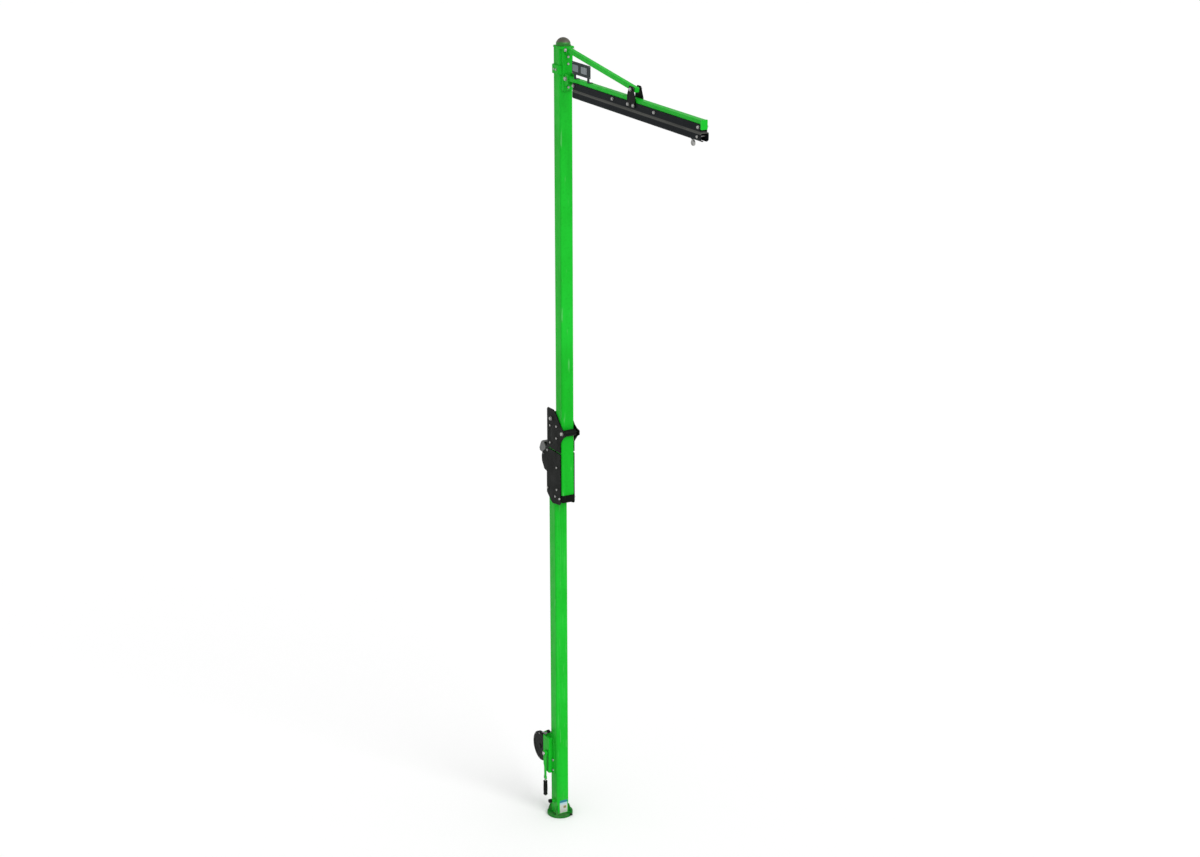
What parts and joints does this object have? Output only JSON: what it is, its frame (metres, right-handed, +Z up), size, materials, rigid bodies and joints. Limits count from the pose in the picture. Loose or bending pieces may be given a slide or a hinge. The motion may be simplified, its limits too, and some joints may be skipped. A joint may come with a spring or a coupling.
{
  "type": "portable jib crane mast",
  "caption": "Tall two-part square mast on a swivel base flange, with a hand winch, a latch carriage and a strutted jib arm with a track and trolley eye.",
  "frame": {"origin": "centre of the round base plate's underside, on the lower mast's swivel axis", "axes": "+Z up along the masts, +X along the jib arm with the mast at its rest heading, -Y the crank side"},
  "size_m": [2.286, 0.215, 5.947],
  "materials": {
    "green_paint": "satin powder coat",
    "black_steel": "satin black powder coat",
    "black_track": "semi-matt black anodised look with a grey ridge",
    "zinc": "zinc-plated fasteners",
    "bare_steel": "oiled machined steel",
    "bronze": "sintered bronze",
    "nylon": "natural nylon slide pads",
    "black_plastic": "moulded black plastic",
    "wire_rope": "galvanised wire rope",
    "cap_metal": "weathered cast cap, grey-brown",
    "slate_board": "dark slate sheet",
    "tag_grey": "blank pale grey tags",
    "label": "blank printed label, white with blue and olive fields",
    "lever_zinc": "zinc-plated pressed levers"
  },
  "bodies": {
    "base": {"base_plate": "green_paint", "thrust_washer": "bronze"},
    "lower_mast": {"swivel_flange": "green_paint", "swivel_stop_bolt": "black_steel", "lower_mast_tube": "green_paint", "spigot_bushes": "nylon", "mast_label": "label", "plunger_boss": "green_paint", "upper_bracket_near": "black_steel", "upper_bracket_far": "black_steel", "bracket_bolts": "zinc", "upper_mast_pads": "nylon", "winch_frame": "green_paint", "winch_gear_case": "black_plastic", "winch_bolts": "zinc", "hoist_rope": "wire_rope", "rope_fall": "wire_rope"},
    "plunger": {"plunger_pin": "bare_steel", "plunger_knob": "black_plastic"},
    "front_roller": {"front_roller": "black_plastic"},
    "head_sheave": {"head_sheave": "bare_steel"},
    "lead_sheave": {"lead_sheave": "bare_steel"},
    "drum": {"winch_drum": "bare_steel", "drum_gear": "bare_steel", "drum_rope": "wire_rope"},
    "crank": {"pinion_shaft": "bare_steel", "ratchet_wheel": "bare_steel", "crank_arm": "green_paint", "crank_nut_and_pin": "zinc"},
    "grip_arm": {"grip_spindle": "bare_steel"},
    "grip": {"crank_grip": "black_plastic"},
    "pawl": {"pawl_lever": "lever_zinc", "pawl_knob": "black_plastic"},
    "upper_mast": {"upper_mast_tube": "green_paint", "mast_shoe": "black_steel", "carriage_near": "black_steel", "carriage_far": "black_steel", "carriage_bolts": "zinc", "carriage_back": "black_steel", "carriage_pads": "nylon", "latch_housing": "black_steel", "mast_cap": "cap_metal", "head_bracket": "green_paint", "head_collar": "green_paint", "head_bolts": "zinc", "arm_bar": "green_paint", "arm_track": "black_track", "track_bolts_and_stops": "zinc", "arm_end_plate": "green_paint", "nameplate_board": "slate_board", "nameplate_tags": "tag_grey", "clevis_plates": "black_steel", "clevis_bolts": "zinc", "strut_tube": "green_paint"},
    "latch_lever": {"latch_lever": "lever_zinc"},
    "lock_pin": {"lock_pin": "bare_steel"},
    "trolley": {"trolley_body": "black_steel"},
    "wheels_inner": {"trolley_wheels_inner": "bare_steel"},
    "wheels_outer": {"trolley_wheels_outer": "bare_steel"},
    "eye": {"trolley_eye": "zinc"}
  },
  "joints": [
    {"name": "mast_swivel", "type": "hinge", "parent": "base", "child": "lower_mast", "pos_m": [0, 0, 0.1], "axis": [0, 0, 1], "continuous": true},
    {"name": "plunger_pull", "type": "slide", "parent": "lower_mast", "child": "plunger", "axis": [0, -1, 0], "range_m": [0, 0.012], "stiffness_N_per_m": 600, "springref_m": -0.01},
    {"name": "mast_slide", "type": "slide", "parent": "lower_mast", "child": "upper_mast", "axis": [0, 0, 1], "range_m": [-1.8, 0], "deforming": ["rope_fall"]},
    {"name": "drum_spin", "type": "hinge", "parent": "lower_mast", "child": "drum", "pos_m": [-0.172, 0, 0.51], "axis": [0, 1, 0], "range_deg": [-2922.1, 0]},
    {"name": "crank_spin", "type": "hinge", "parent": "lower_mast", "child": "crank", "pos_m": [-0.046, -0.1, 0.51], "axis": [0, 1, 0], "range_deg": [0, 13439.8]},
    {"name": "lead_sheave_spin", "type": "hinge", "parent": "lower_mast", "child": "lead_sheave", "pos_m": [-0.06, 0, 0.64], "axis": [0, 1, 0], "range_deg": [-3683.8, 0]},
    {"name": "head_sheave_spin", "type": "hinge", "parent": "lower_mast", "child": "head_sheave", "pos_m": [0.012, 0, 3.196], "axis": [0, 1, 0], "range_deg": [0, 2344.4]},
    {"name": "front_roller_spin", "type": "hinge", "parent": "lower_mast", "child": "front_roller", "pos_m": [0.1858, 0, 3.128], "axis": [0, 1, 0], "range_deg": [-4297.7, 0]},
    {"name": "pawl_lift", "type": "hinge", "parent": "lower_mast", "child": "pawl", "pos_m": [-0.078, -0.08, 0.604], "axis": [0, 1, 0], "range_deg": [0, 12]},
    {"name": "grip_fold", "type": "hinge", "parent": "crank", "child": "grip_arm", "pos_m": [-0.046, -0.1, 0.296], "axis": [-1, 0, 0], "range_deg": [0, 90]},
    {"name": "grip_spin", "type": "hinge", "parent": "grip_arm", "child": "grip", "pos_m": [-0.046, -0.1, 0.219], "axis": [0, 0, 1], "continuous": true},
    {"name": "latch_turn", "type": "hinge", "parent": "upper_mast", "child": "latch_lever", "pos_m": [-0.16, 0, 2.872], "axis": [0, 1, 0], "range_deg": [-20, 0]},
    {"name": "lock_pin_slide", "type": "slide", "parent": "upper_mast", "child": "lock_pin", "axis": [1, 0, 0], "range_m": [0, 0.0141]},
    {"name": "trolley_slide", "type": "slide", "parent": "upper_mast", "child": "trolley", "axis": [1, 0, 0], "range_m": [-1.412, 0.045]},
    {"name": "wheels_inner_spin", "type": "hinge", "parent": "trolley", "child": "wheels_inner", "pos_m": [1.836, 0, 5.5783], "axis": [0, 1, 0], "range_deg": [-6223.7, 198.8]},
    {"name": "wheels_outer_spin", "type": "hinge", "parent": "trolley", "child": "wheels_outer", "pos_m": [1.888, 0, 5.5783], "axis": [0, 1, 0], "range_deg": [-6223.7, 198.8]},
    {"name": "eye_swivel", "type": "hinge", "parent": "trolley", "child": "eye", "pos_m": [1.862, 0, 5.55], "axis": [0, 0, 1], "continuous": true}
  ],
  "couplings": [
    {"joint": "drum_spin", "follows": "mast_slide", "rad_per_m": 28.329},
    {"joint": "crank_spin", "follows": "mast_slide", "rad_per_m": -130.31},
    {"joint": "lead_sheave_spin", "follows": "mast_slide", "rad_per_m": 35.714},
    {"joint": "head_sheave_spin", "follows": "mast_slide", "rad_per_m": -22.727},
    {"joint": "front_roller_spin", "follows": "mast_slide", "rad_per_m": 41.667},
    {"joint": "lock_pin_slide", "follows": "latch_turn", "m_per_rad": -0.04},
    {"joint": "wheels_inner_spin", "follows": "trolley_slide", "rad_per_m": 76.923},
    {"joint": "wheels_outer_spin", "follows": "trolley_slide", "rad_per_m": 76.923}
  ]
}
